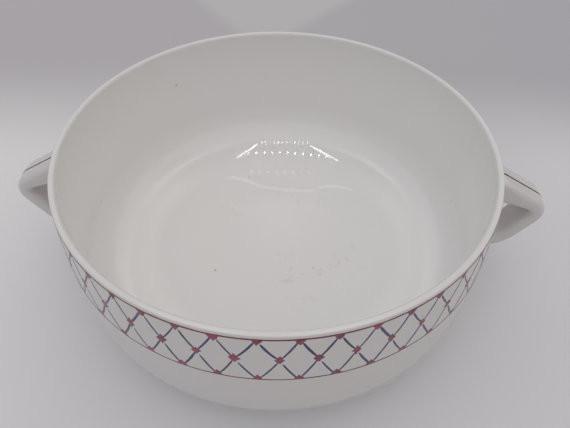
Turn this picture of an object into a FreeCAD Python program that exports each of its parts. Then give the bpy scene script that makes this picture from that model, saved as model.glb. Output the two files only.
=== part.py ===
import FreeCAD
import Part
import Sketcher
import math
import os

# A round porcelain serving bowl with two strap handles.
# Z is up, the bowl stands on its foot ring at Z = 0, and the handles lie along X.

doc = FreeCAD.newDocument("ServingBowl")
Vector = FreeCAD.Vector
flatNormal = Vector(0, 0, 1)

# Driving dimensions in millimetres: alias, value, what it is
sizes = [
    ("bowlHeight", 104.0, "foot plane to top of lip"),
    ("rimRadius", 120.0, "outer radius at the lip"),
    ("lipWidth", 3.2, "thickness of the lip"),
    ("lipOuterRounding", 0.6, "rounded outer edge of the lip"),
    ("lipInnerRounding", 1.6, "rounded inner edge of the lip"),
    ("bellyRadius", 124.6, "widest radius of the wall"),
    ("bellyHeight", 40.0, "height of the widest radius"),
    ("wallThickness", 4.4, "wall thickness at the belly"),
    ("turnRadius", 30.0, "outer radius where the wall turns under"),
    ("underRadius", 126.0, "radius of the nearly flat underside"),
    ("floorHeight", 10.5, "inside floor at the centre"),
    ("footRadius", 77.0, "outer radius of the foot ring where it stands"),
    ("footFlare", 1.0, "how far the foot ring widens upwards"),
    ("footHeight", 5.0, "height of the foot ring outside"),
    ("footWidth", 5.5, "width of the foot ring where it stands"),
    ("recessDepth", 4.5, "depth of the underside inside the foot ring"),
    ("footRounding", 1.2, "rounded edges of the foot ring"),
    ("strapWidth", 20.0, "handle strap, along the wall"),
    ("strapThickness", 9.8, "handle strap, through the strap"),
    ("strapRounding", 3.8, "rounded edges of the strap"),
    ("rootReach", 112.0, "where the strap starts, inside the wall, before it is cut to seat"),
    ("lowerRoot", 29.9, "height of the strap's middle at its lower root"),
    ("strapTop", 84.25, "height of the strap's upper face at its upper root"),
    ("lowerBendRadius", 20.1, "bend of the strap's middle above the lower root"),
    ("lowerBendReach", 132.0, "distance of that bend's centre from the axis"),
    ("tipRadius", 8.65, "bend of the strap's middle at the tip"),
    ("tipReach", 149.3, "distance of the tip bend's centre from the axis"),
    ("tipHeight", 57.8, "height of the tip bend's centre"),
    ("shoulderRadius", 16.25, "bend of the upper face between its root and the tip"),
    ("shoulderReach", 126.0, "distance of that bend's centre from the axis"),
    ("gapTop", 67.6, "height of the finger gap's top at the wall"),
    ("gapBendRadius", 26.0, "bend of the gap's top, where the strap thins towards the tip"),
    ("gapBendReach", 128.0, "distance of that bend's centre from the axis"),
    ("slipSpread", 3.6, "how far the slip spreads on the wall round a root"),
    ("slipReach", 4.2, "how far the slip climbs along the strap"),
    ("slipEdge", 0.3, "thickness of the slip where it ends on the strap"),
]

sheet = doc.addObject("Spreadsheet::Sheet", "Sizes")
for row, (alias, value, note) in enumerate(sizes, start=1):
    sheet.set("A%d" % row, alias)
    sheet.set("B%d" % row, "%g" % value)
    sheet.setAlias("B%d" % row, alias)
    sheet.set("C%d" % row, note)
doc.recompute()

# A point of a sketch edge
startPoint, endPoint, centrePoint = 1, 2, 3
# The lines of a sketch that always exist
acrossAxis, uprightAxis = -1, -2


def size(alias):
    return float(sheet.get(alias))


def value(formula):
    """What a formula over the sheet's cells comes to."""
    return sheet.evalExpression(formula.replace("Sizes.", ""))


# Geometry in the plane of a sketch

def pointOn(centre, radius, angle):
    turn = math.radians(angle)
    return (centre[0] + radius * math.cos(turn), centre[1] + radius * math.sin(turn))


def angleFrom(centre, point):
    return math.degrees(math.atan2(point[1] - centre[1], point[0] - centre[0]))


def circlesMeet(first, firstRadius, second, secondRadius):
    """The point that lies on both circles, to the left of the way from the first to the second."""
    across, up = second[0] - first[0], second[1] - first[1]
    apart = math.hypot(across, up)
    along = (firstRadius ** 2 - secondRadius ** 2 + apart ** 2) / (2 * apart)
    aside = math.sqrt(firstRadius ** 2 - along ** 2)
    return (first[0] + (along * across - aside * up) / apart,
            first[1] + (along * up + aside * across) / apart)


def tangentAngle(first, firstRadius, second, secondRadius):
    """Where a line on the right of the way from one circle to the next touches both of them."""
    apart = math.hypot(second[0] - first[0], second[1] - first[1])
    return angleFrom(first, second) - math.degrees(math.acos((firstRadius - secondRadius) / apart))


# Sketches

def originPlane(body, role):
    for feature in body.Origin.OriginFeatures:
        if feature.Role == role:
            return feature
    raise ValueError("no plane " + role)


def newSketch(body, name, role, offsetFormula=None):
    sketch = body.newObject("Sketcher::SketchObject", name)
    sketch.AttachmentSupport = [(originPlane(body, role), "")]
    sketch.MapMode = "FlatFace"
    sketch.Visibility = False
    if offsetFormula:
        sketch.setExpression("AttachmentOffset.Base.z", offsetFormula)
    return sketch


def bind(sketch, name, constraint, formula):
    index = sketch.addConstraint(constraint)
    sketch.renameConstraint(index, name)
    sketch.setExpression("Constraints." + name, formula)


def fixPoint(sketch, name, edge, end, across=None, up=None):
    """Fix a point of an edge by its distances across and up from the origin."""
    point = sketch.getPoint(edge, end)
    for kind, ending, distance, formula in (
            ("DistanceX", "Across", point.x, across), ("DistanceY", "Up", point.y, up)):
        if formula:
            constraint = Sketcher.Constraint(kind, acrossAxis, startPoint, edge, end, distance)
            bind(sketch, name + ending, constraint, formula)


def fixRadius(sketch, name, edge, formula):
    radius = sketch.Geometry[edge].Radius
    bind(sketch, name, Sketcher.Constraint("Radius", edge, radius), formula)


def addLine(sketch, start, end):
    return sketch.addGeometry(Part.LineSegment(Vector(*start, 0), Vector(*end, 0)))


def addArc(sketch, centre, radius, startAngle, endAngle):
    circle = Part.Circle(Vector(*centre, 0), flatNormal, radius)
    return sketch.addGeometry(Part.ArcOfCircle(circle, math.radians(startAngle), math.radians(endAngle)))


def constrain(sketch, kind, *what):
    sketch.addConstraint(Sketcher.Constraint(kind, *what))


def joinChain(sketch, edges, tangent=False):
    """Join the end of each edge to the start of the next."""
    for first, second in zip(edges, edges[1:]):
        constrain(sketch, "Tangent" if tangent else "Coincident", first, endPoint, second, startPoint)


# The bowl's section

def lipEdge(side):
    """Centre and radius of the rounding on the lip's outer (1) or inner (-1) edge."""
    if side > 0:
        rounding = size("lipOuterRounding")
        return (size("rimRadius") - rounding, size("bowlHeight") - rounding), rounding
    rounding = size("lipInnerRounding")
    return (size("rimRadius") - size("lipWidth") + rounding, size("bowlHeight") - rounding), rounding


def wallRadius(widestRadius, side):
    """Radius of a wall arc, upright at the belly and touching the rounding on the lip's outer (1)
    or inner (-1) edge."""
    centre, rounding = lipEdge(side)
    across = centre[0] - widestRadius
    rise = centre[1] - size("bellyHeight")
    return (rise ** 2 + across ** 2 - rounding ** 2) / (-2 * (across + side * rounding))


def drawOutside(sketch):
    """Foot, underside, turn, wall and the lip's outer edge, from the foot plane up to the top.
    Gives the foot's side and the edge's arc."""
    foot = (size("footRadius"), 0)
    footTop = (foot[0] + size("footFlare"), size("footHeight"))
    turnRadius, underRadius = size("turnRadius"), size("underRadius")
    turnCentre = (size("bellyRadius") - turnRadius, size("bellyHeight"))
    underCentre = circlesMeet(footTop, underRadius, turnCentre, underRadius - turnRadius)
    underEnd = angleFrom(underCentre, turnCentre)
    wall = wallRadius(size("bellyRadius"), 1)
    wallCentre = (size("bellyRadius") - wall, size("bellyHeight"))
    edgeCentre, rounding = lipEdge(1)
    wallEnd = angleFrom(wallCentre, edgeCentre)
    footSide = addLine(sketch, foot, footTop)
    under = addArc(sketch, underCentre, underRadius, angleFrom(underCentre, footTop), underEnd)
    turn = addArc(sketch, turnCentre, turnRadius, underEnd, 0)
    wall = addArc(sketch, wallCentre, wall, 0, wallEnd)
    edge = addArc(sketch, edgeCentre, rounding, wallEnd, 90)
    joinChain(sketch, [footSide, under])
    joinChain(sketch, [under, turn, wall, edge], tangent=True)
    constrain(sketch, "PointOnObject", footSide, startPoint, acrossAxis)
    fixPoint(sketch, "foot", footSide, startPoint, "Sizes.footRadius")
    fixPoint(sketch, "footTop", footSide, endPoint, "Sizes.footRadius + Sizes.footFlare", "Sizes.footHeight")
    fixRadius(sketch, "underRadius", under, "Sizes.underRadius")
    fixRadius(sketch, "turnRadius", turn, "Sizes.turnRadius")
    fixPoint(sketch, "belly", wall, startPoint, "Sizes.bellyRadius", "Sizes.bellyHeight")
    fixPoint(sketch, "turnCentre", turn, centrePoint, up="Sizes.bellyHeight")
    fixPoint(sketch, "outerEdge", edge, centrePoint, "Sizes.rimRadius - Sizes.lipOuterRounding",
             "Sizes.bowlHeight - Sizes.lipOuterRounding")
    fixRadius(sketch, "outerEdgeRadius", edge, "Sizes.lipOuterRounding")
    constrain(sketch, "Vertical", edge, centrePoint, edge, endPoint)
    return footSide, edge


def drawInside(sketch, outerEdge):
    """The lip's top and inner edge, inner wall, turn and dished floor. Gives the floor."""
    widest = size("bellyRadius") - size("wallThickness")
    wall = wallRadius(widest, -1)
    wallCentre = (widest - wall, size("bellyHeight"))
    turnRadius = size("turnRadius") - size("wallThickness")
    turnCentre = (widest - turnRadius, size("bellyHeight"))
    rise = size("bellyHeight") - size("floorHeight")
    dishRadius = (turnCentre[0] ** 2 + rise ** 2 - turnRadius ** 2) / (2 * (rise - turnRadius))
    dishCentre = (0, size("floorHeight") + dishRadius)
    dishEnd = angleFrom(dishCentre, turnCentre)
    floor = addArc(sketch, dishCentre, dishRadius, -90, dishEnd)
    turn = addArc(sketch, turnCentre, turnRadius, dishEnd, 0)
    edgeCentre, rounding = lipEdge(-1)
    wallEnd = angleFrom(wallCentre, edgeCentre)
    inner = addArc(sketch, wallCentre, wall, 0, wallEnd)
    top = addLine(sketch, (lipEdge(1)[0][0], size("bowlHeight")), (edgeCentre[0], size("bowlHeight")))
    innerEdge = addArc(sketch, edgeCentre, rounding, 90, wallEnd + 180)
    joinChain(sketch, [floor, turn, inner], tangent=True)
    constrain(sketch, "Tangent", inner, endPoint, innerEdge, endPoint)
    joinChain(sketch, [outerEdge, top, innerEdge], tangent=True)
    fixPoint(sketch, "innerEdge", innerEdge, centrePoint,
             "Sizes.rimRadius - Sizes.lipWidth + Sizes.lipInnerRounding")
    fixRadius(sketch, "innerEdgeRadius", innerEdge, "Sizes.lipInnerRounding")
    constrain(sketch, "PointOnObject", floor, centrePoint, uprightAxis)
    constrain(sketch, "PointOnObject", floor, startPoint, uprightAxis)
    fixPoint(sketch, "floor", floor, startPoint, up="Sizes.floorHeight")
    fixRadius(sketch, "innerTurnRadius", turn, "Sizes.turnRadius - Sizes.wallThickness")
    fixPoint(sketch, "innerBelly", inner, startPoint,
             "Sizes.bellyRadius - Sizes.wallThickness", "Sizes.bellyHeight")
    fixPoint(sketch, "innerTurnCentre", turn, centrePoint, up="Sizes.bellyHeight")
    return floor


def drawBowlSection(sketch):
    """Half section of the whole bowl, closed along its axis and round the foot ring."""
    footSide, outerEdge = drawOutside(sketch)
    floor = drawInside(sketch, outerEdge)
    mouth = size("footRadius") - size("footWidth")
    depth = size("recessDepth")
    ceilingEnd = (mouth - size("footFlare"), depth)
    axis = addLine(sketch, (0, size("floorHeight")), (0, depth))
    ceiling = addLine(sketch, (0, depth), ceilingEnd)
    recessSide = addLine(sketch, ceilingEnd, (mouth, 0))
    stand = addLine(sketch, (mouth, 0), (size("footRadius"), 0))
    constrain(sketch, "Coincident", floor, startPoint, axis, startPoint)
    joinChain(sketch, [axis, ceiling, recessSide, stand, footSide])
    constrain(sketch, "PointOnObject", axis, endPoint, uprightAxis)
    constrain(sketch, "Horizontal", ceiling)
    constrain(sketch, "PointOnObject", stand, startPoint, acrossAxis)
    fixPoint(sketch, "mouth", stand, startPoint, "Sizes.footRadius - Sizes.footWidth")
    fixPoint(sketch, "ceiling", ceiling, endPoint,
             "Sizes.footRadius - Sizes.footWidth - Sizes.footFlare", "Sizes.recessDepth")


def drawFilledSection(sketch):
    """Half section of all that lies inside the bowl's outside."""
    footSide, outerEdge = drawOutside(sketch)
    height = size("bowlHeight")
    top = addLine(sketch, (lipEdge(1)[0][0], height), (0, height))
    axis = addLine(sketch, (0, height), (0, 0))
    bottom = addLine(sketch, (0, 0), (size("footRadius"), 0))
    joinChain(sketch, [outerEdge, top, axis, bottom, footSide])
    constrain(sketch, "Horizontal", top)
    constrain(sketch, "Vertical", axis)
    constrain(sketch, "PointOnObject", axis, startPoint, uprightAxis)
    constrain(sketch, "PointOnObject", axis, endPoint, acrossAxis)


# The handle's sections

lowerFace = "Sizes.lowerRoot - Sizes.strapThickness / 2"
lowerGap = "Sizes.lowerRoot + Sizes.strapThickness / 2"
# Height of the strap's lower and upper face at each root
rootFaces = {"lower": (lowerFace, lowerGap), "upper": ("Sizes.gapTop", "Sizes.strapTop")}


def drawStrapSide(sketch, side, sign, lastBend):
    """One side of the strap's profile, from its lower root round the tip to its upper root."""
    thicker = "%s Sizes.strapThickness / 2" % sign
    lastReach, lastRadius, topHeight = lastBend
    bends = [
        ("Sizes.lowerBendReach", "Sizes.lowerRoot + Sizes.lowerBendRadius", "Sizes.lowerBendRadius " + thicker),
        ("Sizes.tipReach", "Sizes.tipHeight", "Sizes.tipRadius " + thicker),
        (lastReach, "%s - %s" % (topHeight, lastRadius), lastRadius),
    ]
    centres = [(value(across), value(up)) for across, up, radius in bends]
    radii = [value(radius) for across, up, radius in bends]
    angles = [-90]
    for i in range(2):
        angles.append(tangentAngle(centres[i], radii[i], centres[i + 1], radii[i + 1]))
    angles.append(90)
    edges = []
    corner = (size("rootReach"), centres[0][1] - radii[0])
    for i in range(3):
        edges.append(addLine(sketch, corner, pointOn(centres[i], radii[i], angles[i])))
        edges.append(addArc(sketch, centres[i], radii[i], angles[i], angles[i + 1]))
        corner = pointOn(centres[i], radii[i], angles[i + 1])
    edges.append(addLine(sketch, corner, (size("rootReach"), corner[1])))
    joinChain(sketch, edges, tangent=True)
    for i, (across, up, radius) in enumerate(bends):
        arc = edges[2 * i + 1]
        fixPoint(sketch, "%sBend%d" % (side, i + 1), arc, centrePoint, across, up)
        fixRadius(sketch, "%sRadius%d" % (side, i + 1), arc, radius)
    constrain(sketch, "Horizontal", edges[0])
    constrain(sketch, "Horizontal", edges[-1])
    fixPoint(sketch, side + "LowerRoot", edges[0], startPoint, "Sizes.rootReach")
    fixPoint(sketch, side + "UpperRoot", edges[-1], endPoint, "Sizes.rootReach")
    return edges[0], edges[-1]


def drawStrapProfile(sketch):
    """The strap seen from the side: a bent C that is thicker at its upper root."""
    outerLower, outerUpper = drawStrapSide(
        sketch, "outer", "+", ("Sizes.shoulderReach", "Sizes.shoulderRadius", "Sizes.strapTop"))
    innerLower, innerUpper = drawStrapSide(
        sketch, "inner", "-", ("Sizes.gapBendReach", "Sizes.gapBendRadius", "Sizes.gapTop"))
    for first, second, end in ((outerLower, innerLower, startPoint), (outerUpper, innerUpper, endPoint)):
        corners = [sketch.getPoint(edge, end) for edge in (first, second)]
        root = addLine(sketch, corners[0][:2], corners[1][:2])
        constrain(sketch, "Coincident", root, startPoint, first, end)
        constrain(sketch, "Coincident", root, endPoint, second, end)


def drawStrapSection(sketch, faces, grow):
    """Cross-section of the strap at a root, a rectangle with round corners, grown all round."""
    low, high = faces
    rounding = "Sizes.strapRounding + (%s)" % grow
    halfWidth = "Sizes.strapWidth / 2 - Sizes.strapRounding"
    above = high + " - Sizes.strapRounding"
    below = low + " + Sizes.strapRounding"
    centres = [(value(halfWidth) * side, value(height))
               for side, height in ((1, above), (-1, above), (-1, below), (1, below))]
    arcs = [addArc(sketch, centre, value(rounding), 90 * i, 90 * i + 90) for i, centre in enumerate(centres)]
    for i in range(4):
        after = (i + 1) % 4
        start = pointOn(centres[i], value(rounding), 90 * i + 90)
        line = addLine(sketch, start, pointOn(centres[after], value(rounding), 90 * i + 90))
        joinChain(sketch, [arcs[i], line, arcs[after]], tangent=True)
        constrain(sketch, "Vertical" if i % 2 else "Horizontal", line)
        if i:
            constrain(sketch, "Equal", arcs[0], arcs[i])
    fixRadius(sketch, "rounding", arcs[0], rounding)
    fixPoint(sketch, "upperCorner", arcs[0], centrePoint, halfWidth, above)
    fixPoint(sketch, "lowerCorner", arcs[2], centrePoint, "-(%s)" % halfWidth, below)


# Features

def newBody(label):
    body = doc.addObject("PartDesign::Body", label)
    body.Label = label
    return body


def turnAboutAxis(body, kind, name, sketch):
    """Revolution or Groove of a half section, all the way round the bowl's axis."""
    feature = body.newObject("PartDesign::" + kind, name)
    feature.Profile = sketch
    feature.ReferenceAxis = (sketch, ["V_Axis"])
    feature.Angle = 360
    return feature


def roundEdges(body, name, base, chosen, formula):
    """Fillet of the edges of a feature that the function chosen picks."""
    doc.recompute()
    names = ["Edge%d" % number for number, edge in enumerate(base.Shape.Edges, start=1) if chosen(edge)]
    fillet = body.newObject("PartDesign::Fillet", name)
    fillet.Base = (base, names)
    fillet.setExpression("Radius", formula)


def isFootEdge(edge):
    """The two circles on which the foot ring's flat face ends."""
    onGround = all(abs(vertex.Z) < 1e-6 for vertex in edge.Vertexes)
    return onGround and not edge.Degenerated and isinstance(edge.Curve, Part.Circle)


def isStrapEdge(edge):
    """The long edges on both sides of the strap, which leave out its root faces."""
    onSide = all(abs(abs(vertex.Y) - size("strapWidth") / 2) < 1e-6 for vertex in edge.Vertexes)
    alongSide = abs(edge.Vertexes[0].Y - edge.Vertexes[-1].Y) < 1e-6
    inRoot = all(vertex.X < size("rootReach") + 1e-6 for vertex in edge.Vertexes)
    return onSide and alongSide and not inRoot


def makeBowlBody():
    body = newBody("bowl_body")
    section = newSketch(body, "BowlSection", "XZ_Plane")
    drawBowlSection(section)
    turned = turnAboutAxis(body, "Revolution", "TurnedBowl", section)
    roundEdges(body, "RoundedFoot", turned, isFootEdge, "Sizes.footRounding")
    return body


def trimToWall(body):
    """Cut away all that lies inside the bowl's outside, so that the piece seats on the wall."""
    filling = newSketch(body, body.Name + "FilledSection", "XZ_Plane")
    drawFilledSection(filling)
    turnAboutAxis(body, "Groove", body.Name + "Seat", filling)


def makeHandle(label):
    body = newBody(label)
    profile = newSketch(body, label + "Profile", "XZ_Plane")
    drawStrapProfile(profile)
    strap = body.newObject("PartDesign::Pad", label + "Strap")
    strap.Profile = profile
    strap.SideType = "Symmetric"
    strap.setExpression("Length", "Sizes.strapWidth")
    roundEdges(body, label + "Rounded", strap, isStrapEdge, "Sizes.strapRounding")
    trimToWall(body)
    return body


def loftAlongStrap(body, kind, faces, stations):
    """Add or cut a loft through sections of the strap, each at a reach and grown by some amount."""
    sections = []
    for name, reach, grow in stations:
        section = newSketch(body, body.Name + name, "YZ_Plane", reach)
        drawStrapSection(section, faces, grow)
        sections.append(section)
    loft = body.newObject("PartDesign::" + kind, body.Name + kind)
    loft.Profile = sections[0]
    loft.Sections = sections[1:]


def makeSlipJoint(label, root):
    """The slip round a strap's root: a collar that thins out along the strap."""
    body = newBody(label)
    wide = "Sizes.slipSpread * 2 - Sizes.slipEdge"
    middle = "Sizes.slipEdge + (Sizes.slipSpread - Sizes.slipEdge) / 3"
    collar = [
        ("Wide", "Sizes.bellyRadius - Sizes.slipReach * 3", wide),
        ("Middle", "Sizes.bellyRadius - Sizes.slipReach / 3", middle),
        ("Narrow", "Sizes.bellyRadius + Sizes.slipReach / 3", "Sizes.slipEdge"),
    ]
    strap = [
        ("StrapInside", "Sizes.rootReach - Sizes.slipReach", "0"),
        ("StrapOutside", "Sizes.bellyRadius + Sizes.slipReach", "0"),
    ]
    loftAlongStrap(body, "AdditiveLoft", rootFaces[root], collar)
    loftAlongStrap(body, "SubtractiveLoft", rootFaces[root], strap)
    trimToWall(body)
    return body


pieces = [makeBowlBody()]
for side, turn in (("right", 0), ("left", 180)):
    pair = [makeHandle(side + "_handle")]
    for root in rootFaces:
        pair.append(makeSlipJoint("%s_%s_slip_joint" % (side, root), root))
    for piece in pair:
        piece.Placement = FreeCAD.Placement(Vector(0, 0, 0), FreeCAD.Rotation(flatNormal, turn))
    pieces += pair
doc.recompute()

for item in doc.Objects:
    if "Invalid" in item.State or "Error" in item.State:
        raise RuntimeError(item.Label + " did not recompute: " + str(item.State))

os.makedirs("parts", exist_ok=True)
for piece in pieces:
    shape = piece.Shape
    if shape.isNull() or not shape.isValid():
        raise RuntimeError(piece.Label + " has no valid shape")
    box = shape.BoundBox
    print("%-26s %d solid(s) %9.0f mm3  X %7.1f %7.1f  Y %7.1f %7.1f  Z %6.1f %6.1f" % (
        piece.Label, len(shape.Solids), shape.Volume,
        box.XMin, box.XMax, box.YMin, box.YMax, box.ZMin, box.ZMax))
    shape.exportStep("parts/" + piece.Label + ".step")
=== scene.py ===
import bpy
import bmesh
import math
from mathutils import Matrix, Vector


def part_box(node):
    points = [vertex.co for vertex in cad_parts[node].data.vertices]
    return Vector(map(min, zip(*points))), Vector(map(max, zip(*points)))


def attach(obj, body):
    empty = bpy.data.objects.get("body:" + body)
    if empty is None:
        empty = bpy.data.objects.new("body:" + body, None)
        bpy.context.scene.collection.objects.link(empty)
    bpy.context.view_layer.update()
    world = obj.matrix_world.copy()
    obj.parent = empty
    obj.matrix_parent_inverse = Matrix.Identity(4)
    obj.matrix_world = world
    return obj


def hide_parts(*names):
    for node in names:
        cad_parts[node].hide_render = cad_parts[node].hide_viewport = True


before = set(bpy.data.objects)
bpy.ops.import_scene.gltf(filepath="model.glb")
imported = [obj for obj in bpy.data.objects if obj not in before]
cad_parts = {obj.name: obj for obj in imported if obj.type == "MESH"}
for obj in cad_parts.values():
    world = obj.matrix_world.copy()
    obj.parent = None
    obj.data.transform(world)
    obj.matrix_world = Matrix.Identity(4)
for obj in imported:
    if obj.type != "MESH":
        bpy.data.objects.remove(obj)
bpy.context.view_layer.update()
mm = 0.001
weldDistance = 0.001 * mm
_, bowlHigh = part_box("bowl_body")
print("frame loaded,", len(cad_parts), "nodes")


# Node trees

class Wire:
    # a socket that works in Python expressions
    def __init__(self, graph, socket):
        self.graph = graph
        self.socket = socket

    def out(self, name):
        return Wire(self.graph, self.socket.node.outputs[name])

    def __add__(self, other):
        return self.graph.maths("ADD", self, other)

    def __radd__(self, other):
        return self.graph.maths("ADD", other, self)

    def __sub__(self, other):
        return self.graph.maths("SUBTRACT", self, other)

    def __rsub__(self, other):
        return self.graph.maths("SUBTRACT", other, self)

    def __mul__(self, other):
        return self.graph.maths("MULTIPLY", self, other)

    def __rmul__(self, other):
        return self.graph.maths("MULTIPLY", other, self)

    def __truediv__(self, other):
        return self.graph.maths("DIVIDE", self, other)

    def __rtruediv__(self, other):
        return self.graph.maths("DIVIDE", other, self)

    def __pow__(self, other):
        return self.graph.maths("POWER", self, other)


class Graph:
    def __init__(self, tree):
        self.tree = tree

    def node(self, kind, settings=None, inputs=None, output=0):
        made = self.tree.nodes.new(kind)
        for key, setting in (settings or {}).items():
            setattr(made, key, setting)
        for key, given in (inputs or {}).items():
            self.feed(made.inputs[key], given)
        return Wire(self, made.outputs[output]) if made.outputs else made

    def feed(self, socket, given):
        if isinstance(given, Wire):
            self.tree.links.new(given.socket, socket)
        else:
            socket.default_value = given

    def maths(self, operation, *values):
        return self.node("ShaderNodeMath", {"operation": operation}, dict(enumerate(values)))

    def vector(self, x, y, z):
        return self.node("ShaderNodeCombineXYZ", None, {0: x, 1: y, 2: z})

    def turned(self, reach, angle, height):
        # the point at a distance from the axis, an angle about it and a height
        return self.vector(reach * self.maths("COSINE", angle), reach * self.maths("SINE", angle), height)

    def parts(self, vector):
        x = self.node("ShaderNodeSeparateXYZ", None, {0: vector})
        return x, x.out("Y"), x.out("Z")

    def step(self, value, low, high):
        # from 0 at low to 1 at high, softly
        return self.node("ShaderNodeMapRange", {"interpolation_type": "SMOOTHSTEP"},
                         {"Value": value, "From Min": low, "From Max": high})

    def blend(self, factor, first, second):
        # mixes two colours, which are sockets 6 and 7 of the node
        return self.node("ShaderNodeMix", {"data_type": "RGBA"},
                         {"Factor": factor, 6: first, 7: second}, output=2)

    def noise(self, place, scale, detail=2.0):
        return self.node("ShaderNodeTexNoise", None, {"Vector": place, "Scale": scale, "Detail": detail})


# Meshes grown by Geometry Nodes

class GrowGraph(Graph):
    def index(self):
        return self.node("GeometryNodeInputIndex")

    def position(self):
        return self.node("GeometryNodeInputPosition")

    def random(self, low, high, index, seed):
        return self.node("FunctionNodeRandomValue", {"data_type": "FLOAT"},
                         {2: low, 3: high, "ID": index, "Seed": seed}, output=1)

    def keep(self, geometry, values):
        # stores named values on the points, so that they survive Realize Instances
        settings = {"data_type": "FLOAT", "domain": "POINT"}
        for name, value in values.items():
            stored = {"Geometry": geometry, "Name": name, "Value": value}
            geometry = self.node("GeometryNodeStoreNamedAttribute", settings, stored)
        return geometry

    def kept(self, name):
        return self.node("GeometryNodeInputNamedAttribute", {"data_type": "FLOAT"}, {"Name": name})

    def grid(self, rows, columns):
        # a flat grid, one unit long and wide, centred on the origin
        return self.node("GeometryNodeMeshGrid", None,
                         {"Size X": 1.0, "Size Y": 1.0, "Vertices X": rows, "Vertices Y": columns})

    def copies(self, count, values, instance):
        # an instance on each of a number of points, with named values
        points = self.keep(self.node("GeometryNodePoints", None, {"Count": count}), values)
        return self.node("GeometryNodeInstanceOnPoints", None, {"Points": points, "Instance": instance})


def growPiece(name, base, sizes, material, layout, place):
    # layout gives instances or a grid, and place gives where each of its points goes
    tree = bpy.data.node_groups.new(name + "Tree", "GeometryNodeTree")
    tree.is_modifier = True
    for way in ("INPUT", "OUTPUT"):
        tree.interface.new_socket("Geometry", in_out=way, socket_type="NodeSocketGeometry")
    sockets = {}
    for key, size in sizes.items():
        kind = "NodeSocketInt" if isinstance(size, int) else "NodeSocketFloat"
        sockets[key] = tree.interface.new_socket(key, in_out="INPUT", socket_type=kind)
    graph = GrowGraph(tree)
    given = graph.node("NodeGroupInput")
    inputs = {key: given.out(key) for key in ["Geometry", *sizes]}
    real = graph.node("GeometryNodeRealizeInstances", None, {0: layout(graph, inputs)})
    placed = graph.node("GeometryNodeSetPosition", None,
                        {"Geometry": real, "Position": place(graph, inputs)})
    closed = graph.node("GeometryNodeMergeByDistance", None,
                        {"Geometry": placed, "Distance": weldDistance})
    smooth = graph.node("GeometryNodeSetShadeSmooth", None, {"Geometry": closed})
    dressed = graph.node("GeometryNodeSetMaterial", None, {"Geometry": smooth, "Material": material})
    graph.node("NodeGroupOutput", None, {0: dressed})
    piece = bpy.data.objects.new(name, base)
    bpy.context.scene.collection.objects.link(piece)
    modifier = piece.modifiers.new("Grow", "NODES")
    modifier.node_group = tree
    for key, size in sizes.items():
        modifier[sockets[key].identifier] = size
    bpy.context.view_layer.update()
    view = bpy.context.evaluated_depsgraph_get()
    grown = bpy.data.meshes.new_from_object(piece.evaluated_get(view), preserve_all_data_layers=True,
                                            depsgraph=view)
    piece.modifiers.remove(modifier)
    piece.data = grown
    return piece


def loftPiece(name, rings, material, joined=False):
    # skins a list of rings; joined closes the last ring onto the first, otherwise both ends get a cap
    mesh = bpy.data.meshes.new(name)
    work = bmesh.new()
    loops = [[work.verts.new(point) for point in ring] for ring in rings]
    count = len(loops[0])
    pairs = list(zip(loops, loops[1:] + loops[:1])) if joined else list(zip(loops, loops[1:]))
    for first, second in pairs:
        for i in range(count):
            after = (i + 1) % count
            work.faces.new((first[i], first[after], second[after], second[i]))
    if not joined:
        work.faces.new(loops[0])
        work.faces.new(loops[-1])
    bmesh.ops.remove_doubles(work, verts=work.verts, dist=weldDistance)
    bmesh.ops.recalc_face_normals(work, faces=work.faces)
    for face in work.faces:
        face.smooth = True
    work.to_mesh(mesh)
    work.free()
    mesh.materials.append(material)
    piece = bpy.data.objects.new(name, mesh)
    bpy.context.scene.collection.objects.link(piece)
    return piece


def settle(piece, slot, *nodes):
    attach(piece, "root")
    if nodes:
        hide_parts(*nodes)
    print("made", piece.name, len(piece.data.polygons), "faces")


# Outlines in a plane through the bowl's axis: distance from the axis and height

def pointOn(centre, radius, angle):
    return centre + Vector((math.cos(math.radians(angle)), math.sin(math.radians(angle)))) * radius


def angleFrom(centre, point):
    return math.degrees(math.atan2(point.y - centre.y, point.x - centre.x))


def arc(centre, radius, start, end, count):
    return [pointOn(centre, radius, start + (end - start) * i / count) for i in range(count + 1)]


def roundCorner(before, corner, after, radius, count=5):
    # replaces a corner by an arc that touches both of its sides
    back = (before - corner).normalized()
    on = (after - corner).normalized()
    half = back.angle(on) / 2
    centre = corner + (back + on).normalized() * radius / math.sin(half)
    start = corner + back * radius / math.tan(half)
    end = corner + on * radius / math.tan(half)
    first = angleFrom(centre, start)
    turn = (angleFrom(centre, end) - first + 180) % 360 - 180
    return arc(centre, radius, first, first + turn, count)


# The bowl's own sizes in millimetres; the overall ones come from the frame
bowl = {
    "rimRadius": 120.0,
    "lipWidth": 3.2,
    "lipOuterRounding": 0.6,
    "lipInnerRounding": 1.6,
    "bellyHeight": 40.0,
    "wallThickness": 4.4,
    "turnRadius": 30.0,        # where the wall turns under
    "underRadius": 126.0,      # the nearly flat underside
    "floorHeight": 10.5,
    "footRadius": 77.0,
    "footFlare": 1.0,
    "footHeight": 5.0,
    "footWidth": 5.5,
    "recessDepth": 4.5,
    "footRounding": 1.2,
    "segments": 288,           # round the axis
    "steps": {                 # along each arc of the outline
        "underside": 14,
        "turn": 14,
        "wall": 30,
        "outerLip": 8,
        "innerLip": 12,
        "innerTurn": 16,
        "dish": 16,
    },
}
bowl["height"] = bowlHigh.z / mm
bowl["bellyRadius"] = bowlHigh.x / mm
outerRounding, innerRounding = bowl["lipOuterRounding"], bowl["lipInnerRounding"]
outerEdge = Vector((bowl["rimRadius"] - outerRounding, bowl["height"] - outerRounding))
innerEdge = Vector((bowl["rimRadius"] - bowl["lipWidth"] + innerRounding, bowl["height"] - innerRounding))


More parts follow.
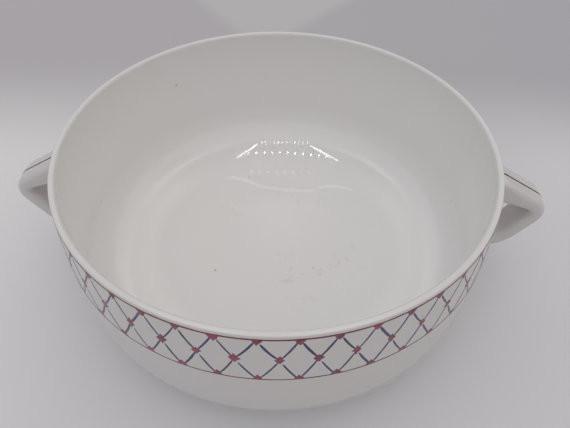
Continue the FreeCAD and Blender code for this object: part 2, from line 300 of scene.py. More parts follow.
def wallArc(widest, edge, rounding, side):
    # centre and radius of a wall arc that stands upright at the belly and touches the rounding on the
    # lip's outer (1) or inner (-1) edge
    across = edge.x - widest
    rise = edge.y - bowl["bellyHeight"]
    radius = (rise ** 2 + across ** 2 - rounding ** 2) / (-2 * (across + side * rounding))
    return Vector((widest - radius, bowl["bellyHeight"])), radius


outerWallCentre, outerWallRadius = wallArc(bowl["bellyRadius"], outerEdge, outerRounding, 1)


def wallReach(height):
    # distance from the axis to the outside of the wall, in millimetres
    if height >= bowl["bellyHeight"]:
        return outerWallCentre.x + math.sqrt(outerWallRadius ** 2 - (height - bowl["bellyHeight"]) ** 2)
    radius = bowl["turnRadius"]
    drop = bowl["bellyHeight"] - height
    return bowl["bellyRadius"] - radius + math.sqrt(radius ** 2 - drop ** 2)


def bowlOutline():
    # from the middle of the underside round the foot, up the outside, over the lip and down the inside
    foot, mouth = bowl["footRadius"], bowl["footRadius"] - bowl["footWidth"]
    depth, rounding = bowl["recessDepth"], bowl["footRounding"]
    under, turn = bowl["underRadius"], bowl["turnRadius"]
    steps = bowl["steps"]
    footTop = Vector((foot + bowl["footFlare"], bowl["footHeight"]))
    turnCentre = Vector((bowl["bellyRadius"] - turn, bowl["bellyHeight"]))
    # the underside's arc starts at the foot and runs into the turn
    apart = (turnCentre - footTop).length
    along = (under ** 2 - (under - turn) ** 2 + apart ** 2) / (2 * apart)
    aside = math.sqrt(under ** 2 - along ** 2)
    ahead = (turnCentre - footTop) / apart
    underCentre = footTop + ahead * along + Vector((-ahead.y, ahead.x)) * aside
    underStart = angleFrom(underCentre, footTop)
    underEnd = angleFrom(underCentre, turnCentre)
    underside = arc(underCentre, under, underStart, underEnd, steps["underside"])
    corners = [Vector((mouth - bowl["footFlare"], depth)), Vector((mouth, 0)), Vector((foot, 0)), footTop]
    points = [Vector((0, depth)), Vector((mouth / 2, depth))]
    chain = [points[-1]] + corners + [underside[1]]
    for before, corner, after in zip(chain, chain[1:], chain[2:]):
        points += roundCorner(before, corner, after, rounding)
    points += underside[1:]
    points += arc(turnCentre, turn, underEnd, 0, steps["turn"])[1:]
    outerEnd = angleFrom(outerWallCentre, outerEdge)
    points += arc(outerWallCentre, outerWallRadius, 0, outerEnd, steps["wall"])[1:]
    widest = bowl["bellyRadius"] - bowl["wallThickness"]
    innerCentre, innerRadius = wallArc(widest, innerEdge, innerRounding, -1)
    innerEnd = angleFrom(innerCentre, innerEdge)
    points += arc(outerEdge, outerRounding, outerEnd, 90, steps["outerLip"])[1:]
    points += arc(innerEdge, innerRounding, 90, innerEnd + 180, steps["innerLip"])
    points += arc(innerCentre, innerRadius, innerEnd, 0, steps["wall"])[1:]
    innerTurn = turn - bowl["wallThickness"]
    rise = bowl["bellyHeight"] - bowl["floorHeight"]
    dishRadius = (turnCentre.x ** 2 + rise ** 2 - innerTurn ** 2) / (2 * (rise - innerTurn))
    dishCentre = Vector((0, bowl["floorHeight"] + dishRadius))
    dishEnd = angleFrom(dishCentre, turnCentre)
    points += arc(turnCentre, innerTurn, 0, dishEnd, steps["innerTurn"])[1:]
    points += arc(dishCentre, dishRadius, dishEnd, -90, steps["dish"])[1:]
    return points


def outlineMesh(name, points):
    mesh = bpy.data.meshes.new(name)
    mesh.from_pydata([(point.x * mm, 0, point.y * mm) for point in points],
                     [(i, i + 1) for i in range(len(points) - 1)], [])
    return mesh


def turnedLayout(graph, inputs):
    return graph.grid(inputs["Segments"] + 1, inputs["Outline Points"])


def turnedPlace(graph, inputs):
    # each row of the grid is the outline, turned about the axis
    index = graph.index()
    row = graph.maths("FLOOR", (index + 0.5) / inputs["Outline Points"])
    source = graph.node("GeometryNodeSampleIndex", {"data_type": "FLOAT_VECTOR", "domain": "POINT"},
                        {"Geometry": inputs["Geometry"], "Value": graph.position(),
                         "Index": index - row * inputs["Outline Points"]})
    reach, _, height = graph.parts(source)
    return graph.turned(reach, row * math.tau / inputs["Segments"], height)


def makeBowl(material):
    points = bowlOutline()
    outline = outlineMesh("bowlOutline", points)
    sizes = {"Segments": bowl["segments"], "Outline Points": len(points)}
    piece = growPiece("bowlBody", outline, sizes, material, turnedLayout, turnedPlace)
    settle(piece, "glazed_porcelain", "bowl_body")


# Strap handles

strap = {
    "width": 20.0,
    "thickness": 9.8,
    "topEdge": 3.2,            # rounding of the edges of the outer face
    "gapEdge": 3.8,            # rounding of the edges of the inner face
    "crown": 0.7,              # how much the outer face is arched across
    "start": 120.5,            # buried in the wall
    "lowerRoot": 29.9,
    "top": 84.25,
    # bends: distance of the centre from the axis, and radius, at mid strap for the first two
    "lowerBend": (132.0, 20.1),
    "tipBend": (149.3, 8.65),
    "tipHeight": 57.8,
    "shoulderBend": (126.0, 16.25),    # of the outer face
    "gapBend": (128.0, 26.0),          # of the inner face
    "gapTop": 67.6,
    "bendSteps": 14,           # along each bend and along each run between two bends
    "runSteps": 5,
    "cornerSteps": 7,          # round each edge and across each broad face
    "faceSteps": 6,
}
turns = {"right": Matrix.Identity(3), "left": Matrix.Rotation(math.pi, 3, "Z")}


def tangentAngle(first, firstRadius, second, secondRadius):
    # where a line on the right of the way from one circle to the next touches both
    apart = (second - first).length
    angle = angleFrom(first, second) - math.degrees(math.acos((firstRadius - secondRadius) / apart))
    return (angle + 90) % 360 - 90


def between(start, end, steps):
    # the points that divide a straight run, without its ends
    return [start.lerp(end, part / steps) for part in range(1, steps)]


def strapSide(grow, lastBend, lastTop):
    # the outer (grow 1) or inner (grow -1) face, from the lower root round the tip to the upper root
    half = grow * strap["thickness"] / 2
    lowerReach, lowerRadius = strap["lowerBend"]
    tipReach, tipRadius = strap["tipBend"]
    lastReach, lastRadius = lastBend
    centres = [Vector((lowerReach, strap["lowerRoot"] + lowerRadius)),
               Vector((tipReach, strap["tipHeight"])), Vector((lastReach, lastTop - lastRadius))]
    radii = [lowerRadius + half, tipRadius + half, lastRadius]
    angles = [-90]
    for i in range(2):
        angles.append(tangentAngle(centres[i], radii[i], centres[i + 1], radii[i + 1]))
    angles.append(90)
    points = [Vector((strap["start"], centres[0].y - radii[0]))]
    for i in range(3):
        bend = arc(centres[i], radii[i], angles[i], angles[i + 1], strap["bendSteps"])
        points += between(points[-1], bend[0], strap["runSteps"]) + bend
    end = Vector((strap["start"], points[-1].y))
    points += between(points[-1], end, strap["runSteps"]) + [end]
    return points


def strapSection(thickness, grow=0.0):
    # across the strap: y and the place between the inner (0) and outer (thickness) face
    halfWidth = strap["width"] / 2
    top, gap = strap["topEdge"], strap["gapEdge"]
    corners = [(1, 1, top), (-1, 1, top), (-1, -1, gap), (1, -1, gap)]
    points = []
    for i, (across, up, rounding) in enumerate(corners):
        face = thickness if up > 0 else 0
        centre = Vector((across * (halfWidth - rounding), face - up * rounding))
        points += arc(centre, rounding + grow, 90 * i, 90 * i + 90, strap["cornerSteps"])
        if i % 2 == 0:
            # a broad face comes next, with points between its two corners
            nextAcross, _, nextRounding = corners[i + 1]
            end = Vector((nextAcross * (halfWidth - nextRounding), points[-1].y))
            points += between(points[-1], end, strap["faceSteps"])
    for point in points:
        if point.y > thickness / 2:
            point.y -= strap["crown"] * (point.x / halfWidth) ** 2
    return points


def strapRings(turn):
    outer = strapSide(1, strap["shoulderBend"], strap["top"])
    inner = strapSide(-1, strap["gapBend"], strap["gapTop"])
    rings = []
    for low, high in zip(inner, outer):
        through = (high - low).normalized()
        ring = []
        for point in strapSection((high - low).length):
            place = low + through * point.y
            ring.append(turn @ Vector((place.x, point.x, place.y)) * mm)
        rings.append(ring)
    return rings


# Slip round the roots of the straps

slip = {
    "spread": 3.6,             # how far it spreads on the wall
    "reach": 4.2,              # how far it climbs along the strap
    "edge": 0.02,              # how thick it ends there
    "bury": 0.8,               # how deep its hidden side lies
    "steps": 12,
}


def slipRing(root, grow, lift, turn):
    # the strap's section at a root, grown all round and lifted off the wall
    low, high = root
    ring = []
    for point in strapSection(high - low, grow):
        height = low + point.y
        reach = math.sqrt(wallReach(height) ** 2 - point.x ** 2)
        ring.append(turn @ Vector((reach + lift, point.x, height)) * mm)
    return ring


def slipRings(root, turn):
    # a hollow curve from the wall up onto the strap, closed on its hidden side
    spread, reach, bury = slip["spread"], slip["reach"], slip["bury"]
    rings = [slipRing(root, spread, -bury, turn)]
    for i in range(slip["steps"] + 1):
        angle = math.pi / 2 * i / slip["steps"]
        grow = spread * (1 - math.sin(angle)) + slip["edge"]
        rings.append(slipRing(root, grow, reach * (1 - math.cos(angle)), turn))
    rings.append(slipRing(root, -bury, reach, turn))
    rings.append(slipRing(root, -bury, -bury, turn))
    return rings


def makeHandles(material):
    half = strap["thickness"] / 2
    roots = {
        "lower": (strap["lowerRoot"] - half, strap["lowerRoot"] + half),
        "upper": (strap["gapTop"], strap["top"]),
    }
    for side, turn in turns.items():
        piece = loftPiece(side + "Handle", strapRings(turn), material)
        settle(piece, "glazed_porcelain", side + "_handle")
        for root, faces in roots.items():
            name = side + root.capitalize() + "Slip"
            collar = loftPiece(name, slipRings(faces, turn), material, joined=True)
            settle(collar, "glazed_slip", "%s_%s_slip_joint" % (side, root))


# Painted trellis round the wall: what its lines, strokes and knots share

trellis = {
    "cells": 48,
    "closing": 1.16,           # width of the last cell, where the round is closed, against the others
    "firstCell": 274.0,        # where a middle knot stands, in degrees about the axis
    "topLine": 101.8,
    "middle": 87.6,
    "lowLine": 71.5,
    "relief": 0.09,            # how far the enamel stands proud of the glaze
    "seed": 7,
}
trellisReach = wallReach(trellis["middle"]) * mm


def trellisSizes(piece):
    # the inputs of a piece's tree: what the trellis shares and the piece's own lengths
    sizes = {key: trellis[key] for key in ("cells", "closing", "seed")}
    sizes["firstCell"] = math.radians(trellis["firstCell"])
    for key in ("topLine", "middle", "lowLine", "relief"):
        sizes[key] = trellis[key] * mm
    for key, length in piece["lengths"].items():
        sizes[key] = length * mm
    return sizes


def onWall(graph, angle, height, lift):
    # a point on the wall at an angle about the axis and a height, lifted off its surface
    rise = height - bowl["bellyHeight"] * mm
    square = (outerWallRadius * mm) ** 2 - rise * rise
    return graph.turned(graph.maths("SQRT", square) + (outerWallCentre.x * mm) + lift, angle, height)


def pitch(inputs):
    # the angle of a cell about the axis
    return math.tau / (inputs["cells"] - 1 + inputs["closing"])


def turnAt(graph, inputs, cell):
    # the angle of a place counted in cells from the first middle knot; the last cell is wider
    before = graph.maths("MINIMUM", cell, 0.0)
    past = graph.maths("MAXIMUM", cell - (inputs["cells"] - 1), 0.0)
    return inputs["firstCell"] + pitch(inputs) * (cell + (inputs["closing"] - 1) * (before + past))


def choose(which, first, second):
    # first where which is 0, second where it is 1
    return first + (second - first) * which


lines = {
    "lengths": {
        "topWidth": 1.05,
        "lowWidth": 0.9,
        "wander": 0.6,         # how far a line strays up and down
    },
    "thinnest": 0.55,          # least width against the full one
    "swell": 0.9,              # how much the brush adds to that
    "waves": 9.0,              # how often a line strays and swells round the bowl
    "apart": 5.0,              # keeps the two lines unlike
    "grid": (481, 9),          # points along a line and round it
}


def lineLayout(graph, inputs):
    # two turned lines: which is 0 for the lower one and 1 for the one under the lip
    return graph.copies(2, {"which": graph.index()}, graph.grid(*lines["grid"]))


def linePlace(graph, inputs):
    along, across, _ = graph.parts(graph.position())
    which = graph.kept("which")
    angle = along * math.tau
    around = across * math.tau
    brush = graph.noise(graph.turned(lines["waves"], angle, which * lines["apart"]), 1.0)
    width = choose(which, inputs["lowWidth"], inputs["topWidth"])
    width = width * (lines["thinnest"] + brush * lines["swell"])
    height = choose(which, inputs["lowLine"], inputs["topLine"]) + (brush - 0.5) * inputs["wander"]
    height = height + width * 0.5 * graph.maths("COSINE", around)
    return onWall(graph, angle, height, inputs["relief"] * graph.maths("SINE", around) * -1.0)


strokes = {
    "lengths": {
        "width": 1.1,
        "sag": 0.9,
    },
    "start": 0.05,             # where a stroke starts and ends on its way from knot to knot
    "end": 0.96,
    "gap": 0.06,               # how much later a falling stroke starts, clear of the knot
    "startsLate": (0.0, 0.04),     # ranges of chance
    "endsEarly": (0.0, 0.03),
    "weight": (0.8, 1.15),
    "slack": (0.6, 1.4),
    "blunt": 5.0,              # how square the ends are
    "thinnest": 0.7,           # least width against the full one
    "swell": 0.6,              # how much the brush adds to that
    "waves": 2.5,              # how often it does along a stroke
    "apart": (3.7, 9.0, 5.0),      # keeps cells, halves and directions unlike
    "relief": 0.8,             # against the trellis's own
    "grid": (17, 9),           # points along a stroke and round it
}


def strokeLayout(graph, inputs):
    # four strokes for each cell, two of them rising to the right (rise 1) and two falling (rise -1)
    index = graph.index()
    seed = inputs["seed"]
    stored = {
        "cell": graph.maths("FLOOR", (index + 0.5) / 4),
        "half": graph.maths("MODULO", index, 2),
        "rise": 1 - 2 * graph.maths("MODULO", graph.maths("FLOOR", (index + 0.5) / 2), 2),
        "tone": graph.random(0.0, 1.0, index, seed),
        "weight": graph.random(*strokes["weight"], index, seed + 1),
        "slack": graph.random(*strokes["slack"], index, seed + 2),
        "startsLate": graph.random(*strokes["startsLate"], index, seed + 3),
        "endsEarly": graph.random(*strokes["endsEarly"], index, seed + 4),
    }
    return graph.copies(inputs["cells"] * 4, stored, graph.grid(*strokes["grid"]))


def strokePlace(graph, inputs):
    along, across, _ = graph.parts(graph.position())
    along = along + 0.5
    around = across * math.tau
    cell, half, rise = graph.kept("cell"), graph.kept("half"), graph.kept("rise")
    falling = (1 - rise) / 2
    start = strokes["start"] + falling * strokes["gap"] + graph.kept("startsLate")
    end = strokes["end"] - graph.kept("endsEarly")
    part = start + (end - start) * along
    # a stroke joins the middle and one of the lines: first and last are its heights at its two knots
    up = rise * (half * 2 - 1)
    far = choose((up + 1) / 2, inputs["lowLine"], inputs["topLine"])
    near = inputs["middle"]
    first = choose(half, far, near)
    last = choose(half, near, far)
    sag = inputs["sag"] * graph.kept("slack") * part * (1 - part) * 4
    height = first + (last - first) * part - sag
    turn = turnAt(graph, inputs, cell + (half - 1 + part) / 2)
    # the brush: round at both ends and a little uneven on its way
    fromMiddle = graph.maths("ABSOLUTE", along * 2 - 1)
    taper = graph.maths("SQRT", graph.maths("MAXIMUM", 1 - fromMiddle ** strokes["blunt"], 0.0))
    byCell, byHalf, byRise = strokes["apart"]
    spot = graph.vector(along * strokes["waves"], cell * byCell, half * byHalf + rise * byRise)
    brush = strokes["thinnest"] + graph.noise(spot, 1.0) * strokes["swell"]
    width = inputs["width"] * graph.kept("weight") * taper * brush
    run = pitch(inputs) / 2 * trellisReach
    climb = last - first
    length = graph.maths("SQRT", run * run + climb * climb)
    aside = width * 0.5 * graph.maths("COSINE", around)
    turn = turn - aside * climb / length / trellisReach
    height = height + aside * run / length
    lift = inputs["relief"] * strokes["relief"] * taper * graph.maths("SINE", around) * -1.0
    return onWall(graph, turn, height, lift)


knots = {
    "lengths": {
        "width": 5.0,
        "height": 6.8,
        "edgeWidth": 6.2,      # of the knots on the two lines
        "edgeHeight": 5.0,
    },
    "inset": 0.3,              # how far those stand in from their line, against their height
    "pinch": 0.88,             # the lower, the more the sides are drawn in between the corners
    "edgePinch": 0.72,
    "broad": (0.85, 1.15),     # ranges of chance
    "tall": (0.88, 1.12),
    "lean": (-0.2, 0.2),
    "smallest": 0.6,           # least size against the full one
    "swell": 0.8,              # how much the brush adds to that
    "grain": 1.8,              # how fine the unevenness of an outline is
    "apart": (5.3, 2.1),       # keeps cells and rows unlike
    "relief": 1.3,             # against the trellis's own
    "grid": (9, 25),           # points from the front to the back of a knot and round it
}


def knotLayout(graph, inputs):
    # three knots for each cell: row 0 on the low line, 1 in the middle, 2 under the top line
    index = graph.index()
    seed = inputs["seed"] + 10
    stored = {
        "cell": graph.maths("FLOOR", (index + 0.5) / 3),
        "row": graph.maths("MODULO", index, 3),
        "tone": graph.random(0.0, 1.0, index, seed),
        "broad": graph.random(*knots["broad"], index, seed + 1),
        "tall": graph.random(*knots["tall"], index, seed + 2),
        "lean": graph.random(*knots["lean"], index, seed + 3),
    }
    return graph.copies(inputs["cells"] * 3, stored, graph.grid(*knots["grid"]))


def knotPlace(graph, inputs):
    across, along, _ = graph.parts(graph.position())
    polar = (across + 0.5) * math.pi
    around = along * math.tau
    cell, row = graph.kept("cell"), graph.kept("row")
    side = row - 1
    edge = graph.maths("ABSOLUTE", side)
    # outline: four pinched corners in the middle row, three on the lines, pointing away from them
    corners = 4 - edge
    quarter = (around + side * math.pi / 2) * corners / 4
    pinch = choose(edge, knots["pinch"], knots["edgePinch"])
    outline = (graph.maths("ABSOLUTE", graph.maths("COSINE", quarter)) ** pinch
               + graph.maths("ABSOLUTE", graph.maths("SINE", quarter)) ** pinch) ** (-1 / pinch)
    byCell, byRow = knots["apart"]
    brush = graph.noise(graph.turned(1.0, around, cell * byCell + row * byRow), knots["grain"], 1.0)
    size = graph.maths("SINE", polar) * outline * (knots["smallest"] + brush * knots["swell"]) * 0.5
    wide = choose(edge, inputs["width"], inputs["edgeWidth"]) * graph.kept("broad") * size
    tall = choose(edge, inputs["height"], inputs["edgeHeight"]) * graph.kept("tall") * size
    shift = wide * graph.maths("COSINE", around)
    rise = tall * graph.maths("SINE", around) + shift * graph.kept("lean")
    base = choose(graph.maths("MAXIMUM", side, 0.0), inputs["middle"], inputs["topLine"])
    base = choose(graph.maths("MAXIMUM", side * -1, 0.0), base, inputs["lowLine"])
    base = base - side * inputs["edgeHeight"] * knots["inset"]
    turn = turnAt(graph, inputs, cell + edge * 0.5) + shift / trellisReach
    lift = inputs["relief"] * knots["relief"] * graph.maths("COSINE", polar)
    return onWall(graph, turn, base + rise, lift)


def makeTrellis(red, blue):
    for name, piece, material, slot, layout, place in (
            ("trellisStrokes", strokes, blue, "blue_enamel", strokeLayout, strokePlace),
            ("trellisLines", lines, red, "red_enamel", lineLayout, linePlace),
            ("trellisKnots", knots, red, "red_enamel", knotLayout, knotPlace)):
        empty = bpy.data.meshes.new(name)
        settle(growPiece(name, empty, trellisSizes(piece), material, layout, place), slot)


# Painted line along each strap

crestLine = {
    "halfWidth": 0.75,
    "relief": 0.09,
    "aside": {"right": -1.0, "left": 1.0},     # from the middle of the strap
    "clear": 1.5,              # how far from the wall it starts
    "opening": (0.15, 0.65),   # width of its first rings against the full one
    "blunt": 6.0,              # how late it thins towards the tip
    "sides": 8,
}


def crestRings(side, turn):
    # a flat line of enamel on the crest of the strap, which runs out at the tip
    path = strapSide(1, strap["shoulderBend"], strap["top"])[::-1]
    start = wallReach(strap["top"]) + crestLine["clear"]
    crest = [point for point in path if point.x > start and point.y > strap["tipHeight"]]
    last = len(crest) - 1
    rings = []
    for i, point in enumerate(crest):
        ahead = crest[min(i + 1, last)] - crest[max(i - 1, 0)]
        out = Vector((-ahead.y, ahead.x)).normalized()
        width = math.sqrt(1 - (i / last) ** crestLine["blunt"])
        if i < len(crestLine["opening"]):
            width *= crestLine["opening"][i]
        ring = []
        for k in range(crestLine["sides"]):
            angle = math.tau * k / crestLine["sides"]
            place = point + out * (crestLine["relief"] * math.sin(angle) * width)
            across = crestLine["aside"][side] + crestLine["halfWidth"] * math.cos(angle) * width
            ring.append(turn @ Vector((place.x, across, place.y)) * mm)
        rings.append(ring)
    return rings


def makeCrestLines(material):
    for side, turn in turns.items():
        settle(loftPiece(side + "CrestLine", crestRings(side, turn), material), "red_enamel")


# Materials

def newMaterial(name):
    material = bpy.data.materials.new(name)
    material.use_nodes = True
    material.node_tree.nodes.clear()
    graph = Graph(material.node_tree)
    shader = graph.node("ShaderNodeBsdfPrincipled")
    graph.node("ShaderNodeOutputMaterial", None, {"Surface": shader})
    return material, graph, shader.socket.node.inputs


porcelain = {
    # painted light and shade: one glaze, in a lighter tone inside the bowl and a darker one outside
    "inside": (0.775, 0.76, 0.755, 1),
    "outside": (0.645, 0.617, 0.613, 1),
    # painted shade: the top of the lip, toned darker than the inside against the light it gets
    "lip": (0.642, 0.622, 0.615, 1),
    "floorShade": (0.755, 0.74, 0.728, 1),       # painted shade: the floor of the bowl, darker towards the middle, where it is lit most
    "turnSheen": (0.84, 0.825, 0.815, 1),     # painted sheen: lighter glaze in the turn of the wall, where light is reflected, with none at the back
    "stain": (0.5, 0.41, 0.33, 1),
    "biscuit": (0.62, 0.56, 0.48, 1),      # the unglazed face of the foot
    "speck": (0.16, 0.12, 0.1, 1),
    "roughness": 0.16,
    "biscuitRoughness": 0.66,
    "ior": 1.5,
    "zones": {                             # from none to full, in millimetres
        "inWall": (0.0, -1.5),             # from the middle of the wall's thickness inwards
        "overFoot": (8.0, 9.0),            # in height
        "foot": (0.9, 0.4),                # in height
        "lip": (-1.8, -0.2),               # in height, from the top of the lip
        "floorShade": (85.0, 30.0),              # from the axis
        "turnSheen": (76.0, 92.0),            # from the axis, at its inner and its outer end
        "turnSheenEnd": (118.0, 100.0),
        "turnSheenBack": (80.0, 30.0),        # along Y, so that the back has none
    },
    "stains": {
        "cloudScale": 22.0,
        "cloud": (0.5, 0.65),              # the part of the noise that shows
        "smudgeScale": 160.0,
        "smudge": (0.58, 0.74),
        "strength": 0.3,
    },
    "specks": {
        "scale": 75.0,
        "size": (0.1, 0.04),
        "chance": (0.88, 0.89),            # about one cell in nine has a speck
        "faintest": 0.1,
        "range": 0.35,                     # how much stronger the strongest is
    },
    "ripple": {"scale": 60.0, "height": 0.3, "strength": 0.25},
}


def glazeZone(graph, value, name, base=0.0):
    # a soft step over one of the glaze's zones, counted from base
    none, full = porcelain["zones"][name]
    return graph.step(value, (base + none) * mm, (base + full) * mm)


def makePorcelain():
    material, graph, inputs = newMaterial("glazedPorcelain")
    place = graph.node("ShaderNodeTexCoord", None, None, "Object")
    x, y, height = graph.parts(place)
    reach = graph.maths("SQRT", x * x + y * y)
    # the middle of the wall's thickness parts the inside from the outside, and leans in above the belly
    middle = (bowl["bellyRadius"] - bowl["wallThickness"] / 2) * mm
    leaning = (bowl["bellyRadius"] - bowl["rimRadius"]) / (bowl["height"] - bowl["bellyHeight"]) ** 2 / mm
    above = graph.maths("MAXIMUM", height - bowl["bellyHeight"] * mm, 0.0)
    inWall = reach - (middle - above * above * leaning)
    inside = glazeZone(graph, inWall, "inWall") * glazeZone(graph, height, "overFoot")
    # painted light and shade: the inside lighter than the outside, though the glaze is the same
    colour = graph.blend(inside, porcelain["outside"], porcelain["inside"])
    # painted shade: the middle of the bowl's floor made darker
    floorShade = glazeZone(graph, reach, "floorShade") * inside
    colour = graph.blend(floorShade, colour, porcelain["floorShade"])
    # painted sheen: a lighter ring in the turn of the wall, fading out towards the back
    turnSheen = glazeZone(graph, reach, "turnSheen") * glazeZone(graph, reach, "turnSheenEnd")
    turnSheen = turnSheen * inside * glazeZone(graph, y, "turnSheenBack")
    colour = graph.blend(turnSheen, colour, porcelain["turnSheen"])
    # faint brownish marks on the floor
    stains = porcelain["stains"]
    cloud = graph.step(graph.noise(place, stains["cloudScale"], 1.0), *stains["cloud"])
    smudge = graph.step(graph.noise(place, stains["smudgeScale"]), *stains["smudge"])
    colour = graph.blend(smudge * cloud * floorShade * stains["strength"], colour, porcelain["stain"])
    # painted shade: the top of the lip in its own, darker tone
    colour = graph.blend(glazeZone(graph, height, "lip", bowl["height"]), colour, porcelain["lip"])
    foot = glazeZone(graph, height, "foot")
    colour = graph.blend(foot, colour, porcelain["biscuit"])
    # small dark specks, one in the middle of a few cells
    specks = porcelain["specks"]
    cells = graph.node("ShaderNodeTexVoronoi", None, {"Vector": place, "Scale": specks["scale"]})
    chance, shade, _ = graph.parts(cells.out("Color"))
    speck = graph.step(cells.out("Distance"), *specks["size"]) * graph.step(chance, *specks["chance"])
    speck = speck * (specks["faintest"] + shade * specks["range"])
    graph.feed(inputs["Base Color"], graph.blend(speck, colour, porcelain["speck"]))
    rougher = porcelain["biscuitRoughness"] - porcelain["roughness"]
    graph.feed(inputs["Roughness"], porcelain["roughness"] + foot * rougher)
    inputs["IOR"].default_value = porcelain["ior"]
    ripple = porcelain["ripple"]
    bump = {"Strength": ripple["strength"], "Distance": ripple["height"] * mm,
            "Height": graph.noise(place, ripple["scale"], 1.0)}
    graph.feed(inputs["Normal"], graph.node("ShaderNodeBump", None, bump))
    return material


enamel = {
    "poolScale": 700.0,        # how fine the pooling is
    "toneShare": 0.4,          # how much a brush stroke's own tone counts beside it
    "pooling": (0.3, 0.9),     # from thick to thin
    "roughness": 0.22,
    "colours": {               # thin and thick
        "redEnamel": ((0.3, 0.052, 0.095, 1), (0.1, 0.017, 0.035, 1)),
        "blueEnamel": ((0.05, 0.052, 0.165, 1), (0.021, 0.022, 0.085, 1)),
        "crestEnamel": ((0.2, 0.028, 0.055, 1), (0.08, 0.012, 0.024, 1)),
    },
}


def makeEnamel(name):
    # pools darker where the brush left more
    material, graph, inputs = newMaterial(name)
    place = graph.node("ShaderNodeTexCoord", None, None, "Object")
    tone = graph.node("ShaderNodeAttribute", {"attribute_name": "tone"}, output=2)
    pool = graph.noise(place, enamel["poolScale"]) + tone * enamel["toneShare"]
    thin, thick = enamel["colours"][name]
    graph.feed(inputs["Base Color"], graph.blend(graph.step(pool, *enamel["pooling"]), thick, thin))
    inputs["Roughness"].default_value = enamel["roughness"]
    return material


porcelainGlaze = makePorcelain()
redEnamel = makeEnamel("redEnamel")
blueEnamel = makeEnamel("blueEnamel")
crestEnamel = makeEnamel("crestEnamel")
makeBowl(porcelainGlaze)
makeHandles(porcelainGlaze)
makeTrellis(redEnamel, blueEnamel)
makeCrestLines(crestEnamel)


# Floor, light and camera

cloth = {
    # painted light and shade: the floor is lighter near the bowl and on the left, darker at the back and
    # on the right
    "nearLeft": (0.695, 0.684, 0.69, 1),
    "near": (0.625, 0.617, 0.635, 1),
    "farLeft": (0.435, 0.414, 0.435, 1),
    "far": (0.41, 0.4, 0.425, 1),
    "patch": (0.49, 0.476, 0.483, 1),      # painted pool of light: lighter, behind the bowl
    "roughness": 0.8,
    "half": 2.0,                           # half the floor's side, in metres, as the places below are
    "nearSides": (-0.24, -0.05),           # along X, from the left tone to the other
    "farSides": (-0.1, 0.35),
    "back": (0.07, 0.26),                  # along Y, from the near tones to the far ones
    "cloudScale": 3.0,
    "cloudShift": 0.06,                    # how unevenly those meet
    "fan": {                               # the painted pool of light, which opens to the back
        "middle": -0.038,                  # along X
        "tip": 0.333,                      # along Y, where its sides would meet and where they end
        "widest": 0.45,
        "slope": 0.76,
        "sides": (0.055, 0.02),            # from none to full, as the next two are
        "start": (0.26, 0.34),
        "end": (0.8, 0.5),
    },
}


def makeFloor():
    mesh = bpy.data.meshes.new("floor")
    half = cloth["half"]
    corners = [(-half, -half, 0), (half, -half, 0), (half, half, 0), (-half, half, 0)]
    mesh.from_pydata(corners, [], [(0, 1, 2, 3)])
    material, graph, inputs = newMaterial("floorCloth")
    place = graph.node("ShaderNodeTexCoord", None, None, "Object")
    cloud = graph.noise(place, cloth["cloudScale"])
    x, y, _ = graph.parts(place)
    # painted light and shade: darker towards the back and the right, with a painted pool of light behind
    # the bowl
    far = graph.step(y + (cloud - 0.5) * cloth["cloudShift"], *cloth["back"])
    fan = cloth["fan"]
    width = (graph.maths("MINIMUM", y, fan["widest"]) - fan["tip"]) * fan["slope"]
    patch = graph.step(graph.maths("ABSOLUTE", x - fan["middle"]) - width, *fan["sides"])
    patch = patch * graph.step(y, *fan["start"]) * graph.step(y, *fan["end"])
    near = graph.blend(graph.step(x, *cloth["nearSides"]), cloth["nearLeft"], cloth["near"])
    back = graph.blend(graph.step(x, *cloth["farSides"]), cloth["farLeft"], cloth["far"])
    colour = graph.blend(far, near, back)
    graph.feed(inputs["Base Color"], graph.blend(patch, colour, cloth["patch"]))
    inputs["Roughness"].default_value = cloth["roughness"]
    mesh.materials.append(material)
    floor = bpy.data.objects.new("floor", mesh)
    bpy.context.scene.collection.objects.link(floor)


lights = {
    "low": 0.1,                # glow of the room at the level of the table
    "ring": 1.06,              # all round above that
    "top": 1.15,               # straight overhead
    "dip": 0.33,               # how much dimmer it is between the two
    "dipBack": 0.45,           # how much that grows to the back
    "ringBack": 0.07,          # how much sooner the ring starts at the back
    "ringZone": (0.1, 0.58),   # upwards, from 0 at the table's level to 1 overhead
    "dipZone": (0.5, 0.9),
    "topZone": (0.8, 1.0),
    "fromLeft": (0.985, 0.985, 1.02, 1),
    "fromRight": (1.0, 0.985, 0.955, 1),
    "sides": (-0.9, 0.9),      # along X, from the left tone to the right one
    "backdrop": 0.5,           # what shows beyond the floor
}


def makeRoom():
    # soft light from all round and above, with a dimmer band between, which is dimmest at the back
    world = bpy.data.worlds.new("room")
    bpy.context.scene.world = world
    world.use_nodes = True
    world.node_tree.nodes.clear()
    graph = Graph(world.node_tree)
    x, y, z = graph.parts(graph.node("ShaderNodeTexCoord"))
    ring = graph.step(z + y * lights["ringBack"], *lights["ringZone"])
    ring = lights["low"] + ring * (lights["ring"] - lights["low"])
    dip = graph.step(z, *lights["dipZone"]) * (lights["dip"] + y * lights["dipBack"])
    high = graph.step(z, *lights["topZone"])
    strength = ring * (1 - dip) * (1 - high) + high * lights["top"]
    seen = graph.node("ShaderNodeLightPath")
    strength = strength * (1 - seen) + seen * lights["backdrop"]
    colour = graph.blend(graph.step(x, *lights["sides"]), lights["fromLeft"], lights["fromRight"])
    glow = graph.node("ShaderNodeBackground", None, {"Color": colour, "Strength": strength})
    graph.node("ShaderNodeOutputWorld", None, {"Surface": glow})


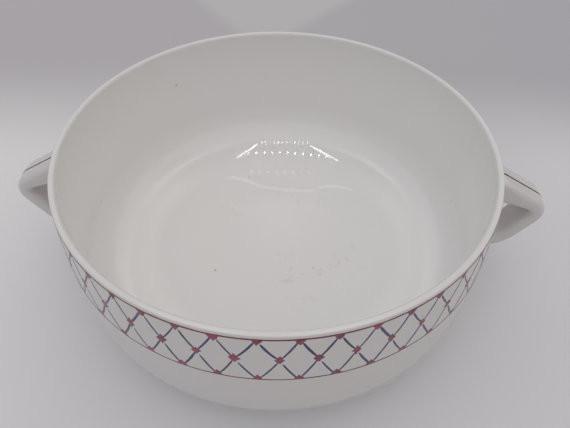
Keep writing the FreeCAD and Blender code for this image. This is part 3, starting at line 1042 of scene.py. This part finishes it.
# Rows of small lamps close over the glaze, seen only as glints in it, in millimetres
glints = {
    "height": 4.0,             # over the glaze
    "lean": 33.0,              # how far they look forward from straight down, in degrees
    "spread": 80.0,            # how wide they shine
    # both ends, how far the middle bows to the back, and the number, size and glow of the lamps
    "rows": [
        ((-33.8, 90.0), (38.4, 89.6), 3.8, 11, 1.5, 10.0),
        ((-22.0, 101.2), (20.0, 102.4), 1.4, 12, 1.1, 8.5),
        ((-29.4, 69.2), (24.3, 71.0), 1.2, 8, 1.9, 1.3),
        ((-44.0, 62.2), (-23.0, 57.6), 1.2, 8, 2.2, 1.1),
        ((-22.0, 56.4), (27.0, 52.6), -2.4, 16, 2.2, 0.8),
        ((28.0, 55.6), (55.0, 54.0), 2.6, 9, 2.2, 0.9),
    ],
    # both ends, width and glow
    "bars": [
        ((-39.4, 86.2), (-24.6, 100.3), 1.0, 7.5),
        ((22.0, 101.3), (44.1, 87.1), 1.0, 7.5),
    ],
    # larger ones far off: place in metres, size, and how bright they look
    "windows": [
        ((0.2, 0.46, 1.2), 360.0, 0.9),
        ((-0.29, 0.4, 1.2), 360.0, 0.9),
        ((-0.02, 0.42, 0.4), 170.0, 0.5),
    ],
}


def insideHeight(reach):
    # height of the glaze inside the bowl, in millimetres
    fromFloor = bowlOutline()[::-1]
    for inner, outer in zip(fromFloor, fromFloor[1:]):
        if inner.x <= reach <= outer.x:
            return inner.y + (outer.y - inner.y) * (reach - inner.x) / (outer.x - inner.x)
    return bowl["height"]


def glintPlace(spot):
    return Vector((spot[0], spot[1], insideHeight(Vector(spot).length) + glints["height"])) * mm


def glossLamp(name, size, glow, place, back, along=Vector((1, 0, 0)), spread=180.0):
    # a lamp seen only in reflections, which shines away from back
    light = bpy.data.lights.new(name, "AREA")
    light.shape = "ELLIPSE" if size[0] == size[1] else "RECTANGLE"
    light.size, light.size_y = size[0] * mm, size[1] * mm
    light.spread = math.radians(spread)
    light.energy = glow * light.size * light.size_y
    lamp = bpy.data.objects.new(name, light)
    across = back.cross(along).normalized()
    along = across.cross(back)
    lamp.matrix_world = Matrix.Translation(place) @ Matrix((along, across, back)).transposed().to_4x4()
    lamp.visible_camera = False
    lamp.visible_diffuse = False
    lamp.visible_transmission = False
    bpy.context.scene.collection.objects.link(lamp)


def makeGlints():
    lean = math.radians(glints["lean"])
    back = Vector((0, math.sin(lean), math.cos(lean)))
    spread = glints["spread"]
    for first, last, bow, count, size, glow in glints["rows"]:
        for i in range(count):
            part = (i + 0.5) / count
            spot = Vector(first).lerp(Vector(last), part) + Vector((0, bow * 4 * part * (1 - part)))
            glossLamp("glint", (size, size), glow, glintPlace(spot), back, spread=spread)
    for first, last, width, glow in glints["bars"]:
        start, end = glintPlace(first), glintPlace(last)
        size = ((end - start).length / mm, width)
        glossLamp("glintBar", size, glow, (start + end) / 2, back, end - start, spread)
    for place, size, glow in glints["windows"]:
        place = Vector(place)
        glossLamp("window", (size, size), glow * math.pi, place, place.normalized())


viewpoint = {
    "away": 0.1957,            # in front of the bowl's axis, in metres
    "height": 0.2598,
    "turn": 3.72,              # round the bowl, in degrees
    "yaw": 1.366,
    "down": 48.58,
    "roll": 0.865,
    "lens": 28.1,
    "nearest": 0.01,
}


def makeCamera():
    camera = bpy.data.objects.new("camera", bpy.data.cameras.new("camera"))
    bpy.context.scene.collection.objects.link(camera)
    turn = Matrix.Rotation(math.radians(viewpoint["turn"]), 4, "Z")
    aim = (Matrix.Rotation(math.radians(-viewpoint["yaw"]), 4, "Z")
           @ Matrix.Rotation(math.radians(90 - viewpoint["down"]), 4, "X")
           @ Matrix.Rotation(math.radians(viewpoint["roll"]), 4, "Z"))
    camera.matrix_world = turn @ Matrix.Translation((0, -viewpoint["away"], viewpoint["height"])) @ aim
    camera.data.lens = viewpoint["lens"]
    camera.data.clip_start = viewpoint["nearest"]
    bpy.context.scene.camera = camera


makeFloor()
makeRoom()
makeGlints()
makeCamera()
bpy.context.scene.view_settings.view_transform = "Standard"
print("floor, light and camera set")
